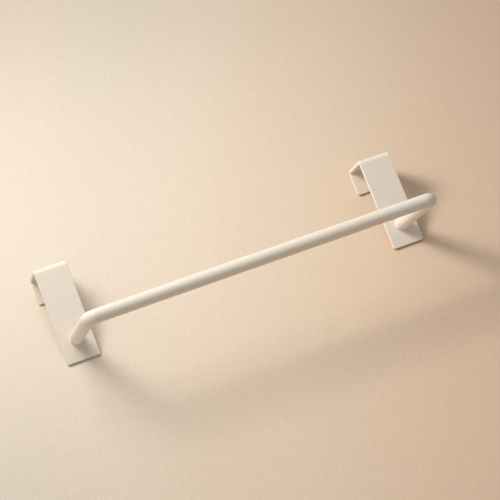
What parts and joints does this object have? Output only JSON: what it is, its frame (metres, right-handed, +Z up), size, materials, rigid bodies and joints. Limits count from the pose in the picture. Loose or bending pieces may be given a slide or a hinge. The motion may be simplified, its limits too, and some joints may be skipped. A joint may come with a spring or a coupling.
{
  "type": "over-door towel bar",
  "caption": "Round steel bar bent back at both ends onto flat strip hooks that fold over the top edge of a cabinet door, coated off-white.",
  "frame": {"origin": "midway between the hooks, level with the undersides of their folds and midway across the channels that the door's edge fits in", "axes": "+X along the bar, +Z up, -Y towards the person in front of the door"},
  "size_m": [0.23, 0.089, 0.0585],
  "materials": {
    "powder_coat": "matt to satin off-white powder coat with a very fine grain"
  },
  "bodies": {
    "root": {"left_hook": "powder_coat", "right_hook": "powder_coat", "towel_bar": "powder_coat", "left_weld": "powder_coat", "right_weld": "powder_coat"}
  },
  "joints": []
}
